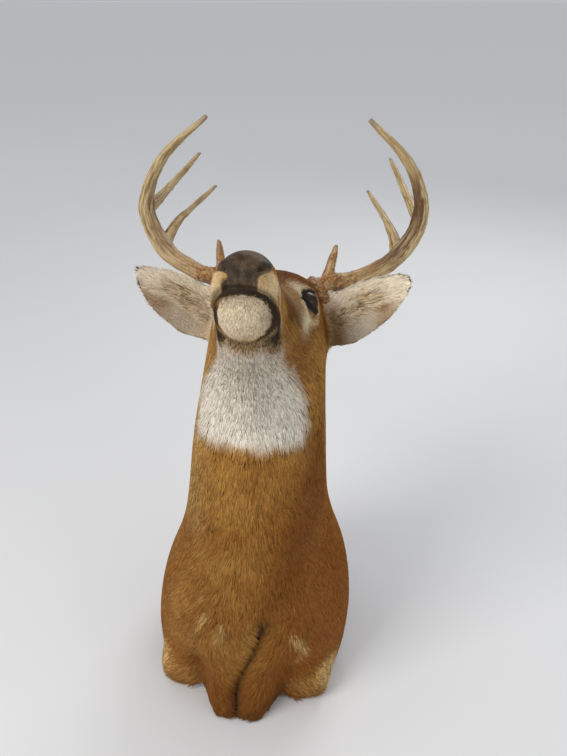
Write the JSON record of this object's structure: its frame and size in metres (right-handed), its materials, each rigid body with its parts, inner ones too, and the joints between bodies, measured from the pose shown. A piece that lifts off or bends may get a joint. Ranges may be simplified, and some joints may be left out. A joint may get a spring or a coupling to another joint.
{
  "type": "deer shoulder mount",
  "caption": "Life-size shoulder mount of an antlered white-tailed buck with a raised muzzle, on a hidden flat back board.",
  "frame": {"origin": "centre of the back board's underside, the flat face that goes against a wall and that the mount stands on", "axes": "+Z out of the board along the neck to the antler tips, +Y towards the nape, -Y towards the throat and muzzle, +X towards the deer's left side"},
  "size_m": [0.3679, 0.4122, 0.7893],
  "materials": {
    "coat": "short orange-brown hair",
    "pale_coat": "short cream hair",
    "nose_skin": "dark pebbled skin",
    "glass_eye": "glossy dark glass",
    "antler": "satin bone, ivory to brown",
    "plywood": "bare plywood"
  },
  "bodies": {
    "root": {"antler_left_base": "antler", "antler_left_beam": "antler", "antler_left_brow_tine": "antler", "antler_left_g2_tine": "antler", "antler_left_g3_tine": "antler", "antler_left_tip": "antler", "antler_right_base": "antler", "antler_right_beam": "antler", "antler_right_brow_tine": "antler", "antler_right_g2_tine": "antler", "antler_right_g3_tine": "antler", "antler_right_tip": "antler", "back_board": "plywood", "ear_left": "coat", "ear_right": "coat", "eye_left": "glass_eye", "eye_right": "glass_eye", "foreleg_left": "coat", "foreleg_right": "coat", "head": "coat", "lower_jaw": "pale_coat", "neck": "coat", "nose": "nose_skin", "trunk": "coat"}
  },
  "joints": []
}
